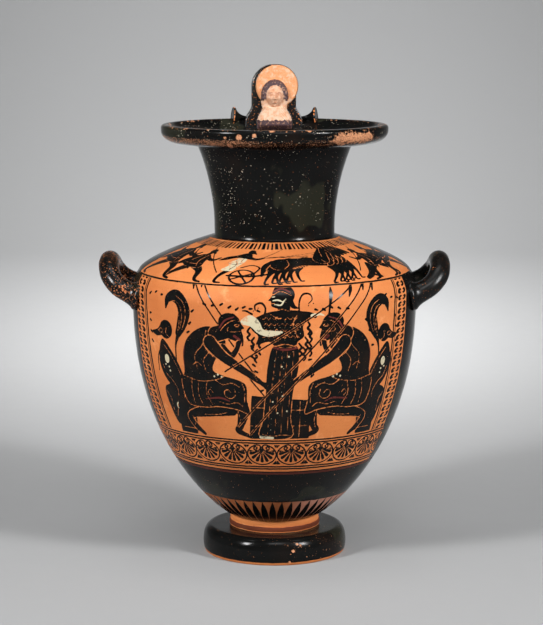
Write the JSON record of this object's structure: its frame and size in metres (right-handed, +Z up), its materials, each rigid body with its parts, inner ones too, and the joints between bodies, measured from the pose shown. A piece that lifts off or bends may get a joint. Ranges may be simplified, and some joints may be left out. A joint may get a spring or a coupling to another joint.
{
  "type": "hydria",
  "caption": "Three-handled fired clay water jar with black gloss, painted figure panels on belly and shoulder, a wide flat mouth, a relief head on the rim and a disc foot.",
  "frame": {"origin": "on the ground under the foot, below the middle of the jar's whole width and depth; the jar's own turning axis stands 9.25 mm in front of it, at y = -0.00925", "axes": "+Z up; -Y is the painted front; +Y the tall back handle; +X the side handle on the viewer's right"},
  "size_m": [0.3624, 0.3131, 0.5055],
  "materials": {
    "glazed_clay": null
  },
  "bodies": {
    "root": {"hydria": "glazed_clay"}
  },
  "joints": []
}
